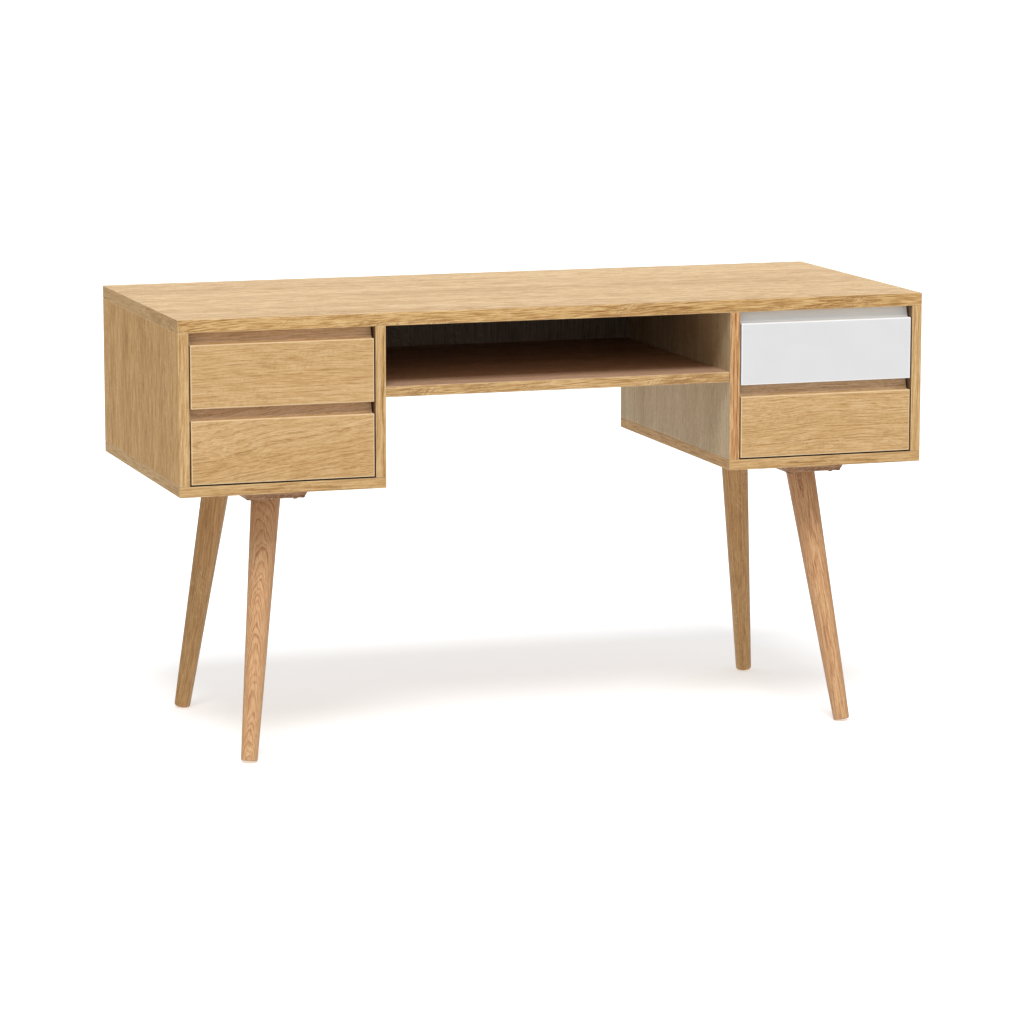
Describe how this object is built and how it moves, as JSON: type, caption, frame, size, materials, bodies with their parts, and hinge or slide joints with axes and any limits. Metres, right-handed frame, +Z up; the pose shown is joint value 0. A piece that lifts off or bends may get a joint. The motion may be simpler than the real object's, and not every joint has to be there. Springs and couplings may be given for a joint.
{
  "type": "writing desk",
  "caption": "Long oak writing desk: drawer pedestals with finger recesses hang under one top, an open shelf bay lies between them, and it stands on splayed tapered legs.",
  "frame": {"origin": "on the floor, under the middle of the top", "axes": "+X along the desk to the right of someone facing its front, +Y to the back, +Z up; the drawers open towards -Y"},
  "size_m": [1.32, 0.555, 0.755],
  "materials": {
    "oak_board": "clear-lacquered oak, satin",
    "oak_front": "clear-lacquered oak, satin",
    "white_lacquer": "white lacquer, satin",
    "oak_leg": "oiled solid oak, satin",
    "drawer_wood": "pale plywood, clear lacquer",
    "beech_dowel": "plain beech",
    "runner_steel": "bright zinc plate",
    "zinc_fixings": "dull zinc plate"
  },
  "bodies": {
    "carcass": {"desk_top": "oak_board", "left_outer_side": "oak_board", "left_inner_side": "oak_board", "right_inner_side": "oak_board", "right_outer_side": "oak_board", "centre_back_panel": "oak_board", "centre_shelf": "oak_board", "left_base_board": "oak_board", "right_base_board": "oak_board", "left_back_panel": "oak_board", "right_back_panel": "oak_board", "front_left_leg": "oak_leg", "rear_left_leg": "oak_leg", "front_right_leg": "oak_leg", "rear_right_leg": "oak_leg", "front_left_leg_plate": "oak_leg", "rear_left_leg_plate": "oak_leg", "front_right_leg_plate": "oak_leg", "rear_right_leg_plate": "oak_leg", "leg_bolts": "zinc_fixings", "leg_inserts": "zinc_fixings", "leg_plate_screws": "zinc_fixings", "carcass_dowels": "beech_dowel", "runner_screws": "zinc_fixings", "lower_left_cabinet_runners": "runner_steel", "upper_left_cabinet_runners": "runner_steel", "lower_right_cabinet_runners": "runner_steel", "upper_right_cabinet_runners": "runner_steel"},
    "lower_left_drawer": {"lower_left_drawer_front": "oak_front", "lower_left_drawer_left_side": "drawer_wood", "lower_left_drawer_right_side": "drawer_wood", "lower_left_drawer_back": "drawer_wood", "lower_left_drawer_bottom": "drawer_wood", "lower_left_drawer_runners": "runner_steel", "lower_left_drawer_screws": "zinc_fixings"},
    "lower_left_runner_slide": {"lower_left_middle_runners": "runner_steel"},
    "upper_left_drawer": {"upper_left_drawer_front": "oak_front", "upper_left_drawer_left_side": "drawer_wood", "upper_left_drawer_right_side": "drawer_wood", "upper_left_drawer_back": "drawer_wood", "upper_left_drawer_bottom": "drawer_wood", "upper_left_drawer_runners": "runner_steel", "upper_left_drawer_screws": "zinc_fixings"},
    "upper_left_runner_slide": {"upper_left_middle_runners": "runner_steel"},
    "lower_right_drawer": {"lower_right_drawer_front": "oak_front", "lower_right_drawer_left_side": "drawer_wood", "lower_right_drawer_right_side": "drawer_wood", "lower_right_drawer_back": "drawer_wood", "lower_right_drawer_bottom": "drawer_wood", "lower_right_drawer_runners": "runner_steel", "lower_right_drawer_screws": "zinc_fixings"},
    "lower_right_runner_slide": {"lower_right_middle_runners": "runner_steel"},
    "upper_right_drawer": {"upper_right_drawer_front": "white_lacquer", "upper_right_drawer_left_side": "drawer_wood", "upper_right_drawer_right_side": "drawer_wood", "upper_right_drawer_back": "drawer_wood", "upper_right_drawer_bottom": "drawer_wood", "upper_right_drawer_runners": "runner_steel", "upper_right_drawer_screws": "zinc_fixings"},
    "upper_right_runner_slide": {"upper_right_middle_runners": "runner_steel"}
  },
  "joints": [
    {"name": "lower_left_drawer_slide", "type": "slide", "parent": "carcass", "child": "lower_left_drawer", "axis": [0, -1, 0], "range_m": [0, 0.42]},
    {"name": "lower_left_runner_travel", "type": "slide", "parent": "carcass", "child": "lower_left_runner_slide", "axis": [0, -1, 0], "range_m": [0, 0.21]},
    {"name": "upper_left_drawer_slide", "type": "slide", "parent": "carcass", "child": "upper_left_drawer", "axis": [0, -1, 0], "range_m": [0, 0.42]},
    {"name": "upper_left_runner_travel", "type": "slide", "parent": "carcass", "child": "upper_left_runner_slide", "axis": [0, -1, 0], "range_m": [0, 0.21]},
    {"name": "lower_right_drawer_slide", "type": "slide", "parent": "carcass", "child": "lower_right_drawer", "axis": [0, -1, 0], "range_m": [0, 0.42]},
    {"name": "lower_right_runner_travel", "type": "slide", "parent": "carcass", "child": "lower_right_runner_slide", "axis": [0, -1, 0], "range_m": [0, 0.21]},
    {"name": "upper_right_drawer_slide", "type": "slide", "parent": "carcass", "child": "upper_right_drawer", "axis": [0, -1, 0], "range_m": [0, 0.42]},
    {"name": "upper_right_runner_travel", "type": "slide", "parent": "carcass", "child": "upper_right_runner_slide", "axis": [0, -1, 0], "range_m": [0, 0.21]}
  ],
  "couplings": [
    {"joint": "lower_left_runner_travel", "follows": "lower_left_drawer_slide", "ratio": 0.5},
    {"joint": "upper_left_runner_travel", "follows": "upper_left_drawer_slide", "ratio": 0.5},
    {"joint": "lower_right_runner_travel", "follows": "lower_right_drawer_slide", "ratio": 0.5},
    {"joint": "upper_right_runner_travel", "follows": "upper_right_drawer_slide", "ratio": 0.5}
  ]
}
